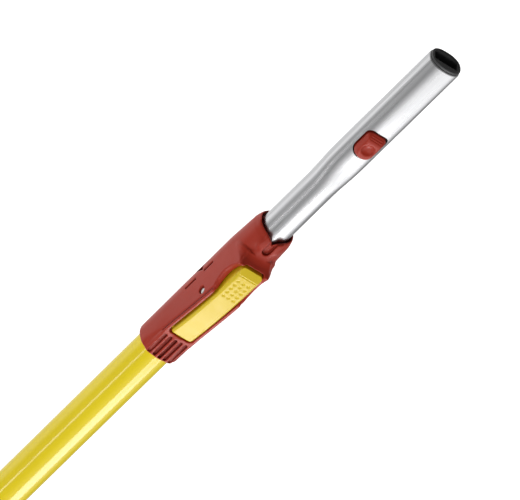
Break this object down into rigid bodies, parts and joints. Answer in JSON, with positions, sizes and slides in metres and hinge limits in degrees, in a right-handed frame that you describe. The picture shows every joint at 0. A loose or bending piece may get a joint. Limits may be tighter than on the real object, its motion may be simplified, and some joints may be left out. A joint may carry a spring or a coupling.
{
  "type": "roller extension pole",
  "caption": "Two-stage telescopic pole with a rocker-lever friction lock, an oval snap tip with a push-button, and a cord hole in the end cap.",
  "frame": {"origin": "centre of the end cap's flat lower face, on the pole's axis", "axes": "+Z along the pole towards the oval tip; the lever and the push-button face -Y"},
  "size_m": [0.0368, 0.0482, 0.817],
  "materials": {
    "yellow_paint": "gloss paint",
    "brick_red_plastic": "moulded, satin",
    "yellow_plastic": "moulded, satin",
    "bare_aluminium": "drawn, satin",
    "black_plastic": "moulded, matte",
    "steel": "zinc plated",
    "spring_steel": "oiled wire",
    "acetal": "natural white",
    "black_rubber": "matte"
  },
  "bodies": {
    "handle": {"outer_tube": "yellow_paint", "end_cap": "black_plastic", "end_cap_rivets": "steel", "stop_ring": "spring_steel", "lock_housing": "brick_red_plastic", "housing_screws": "steel", "guide_bush": "acetal", "wiper_ring": "black_rubber", "lever_pivot_pin": "steel", "pivot_pin_clip": "spring_steel", "lever_spring": "spring_steel"},
    "slide_bush": {"slide_bush": "acetal"},
    "sliding_tube": {"inner_tube": "bare_aluminium", "bush_clip": "spring_steel", "lower_plug": "black_plastic", "tip_plug": "black_plastic", "button_carrier": "black_plastic", "carrier_screw": "steel", "button_spring": "spring_steel"},
    "lever": {"lever": "yellow_plastic"},
    "brake": {"brake_shoe": "black_plastic", "brake_pad": "black_rubber", "link_pin": "steel"},
    "button": {"tip_button": "brick_red_plastic"}
  },
  "joints": [
    {"name": "pole_slide", "type": "slide", "parent": "handle", "child": "slide_bush", "axis": [0, 0, 1], "range_m": [-0.06, 0.348]},
    {"name": "pole_turn", "type": "hinge", "parent": "slide_bush", "child": "sliding_tube", "pos_m": [0, 0, 0.108], "axis": [0, 0, 1], "continuous": true},
    {"name": "lever_press", "type": "hinge", "parent": "handle", "child": "lever", "pos_m": [0, -0.0172, 0.538], "axis": [-1, 0, 0], "range_deg": [0, 4], "stiffness_Nm_per_rad": 2, "springref_deg": -11.46},
    {"name": "brake_release", "type": "slide", "parent": "handle", "child": "brake", "axis": [0, -1, 0], "range_m": [0, 0.0019]},
    {"name": "button_press", "type": "slide", "parent": "sliding_tube", "child": "button", "axis": [0, 1, 0], "range_m": [0, 0.004], "stiffness_N_per_m": 800, "springref_m": -0.004}
  ],
  "couplings": [
    {"joint": "brake_release", "follows": "lever_press", "m_per_rad": 0.027}
  ]
}
